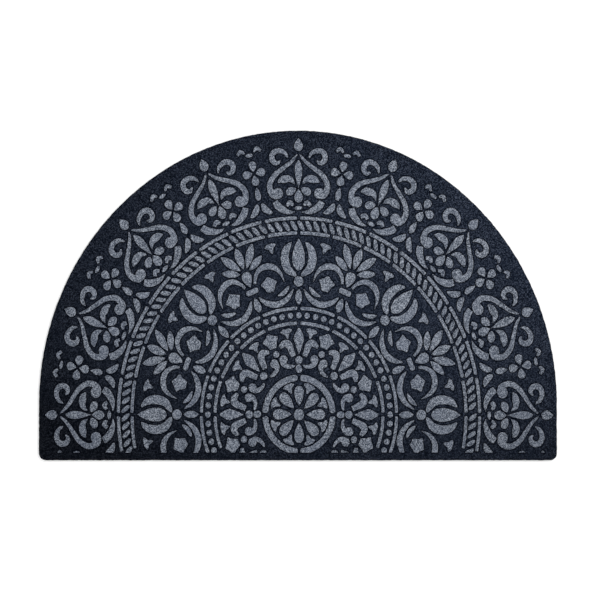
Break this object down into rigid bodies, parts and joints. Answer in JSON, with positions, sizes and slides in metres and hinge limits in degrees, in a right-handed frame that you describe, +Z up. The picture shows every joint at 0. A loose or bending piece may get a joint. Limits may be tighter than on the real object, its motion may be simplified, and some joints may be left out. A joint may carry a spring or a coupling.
{
  "type": "half round doormat",
  "caption": "Flat half round doormat of moulded rubber with a flocked face and a low raised medallion ornament inside a plain border.",
  "frame": {"origin": "centre of the mat's box on its underside, which lies on the floor", "axes": "+X along the straight edge, +Y from the straight edge to the top of the arch, +Z up out of the flocked face"},
  "size_m": [0.75, 0.4772, 0.007],
  "materials": {
    "flocked_rubber": "matt flock on moulded rubber, near-black blue ground with blue-grey raised ornament"
  },
  "bodies": {
    "root": {"mat": "flocked_rubber"}
  },
  "joints": []
}
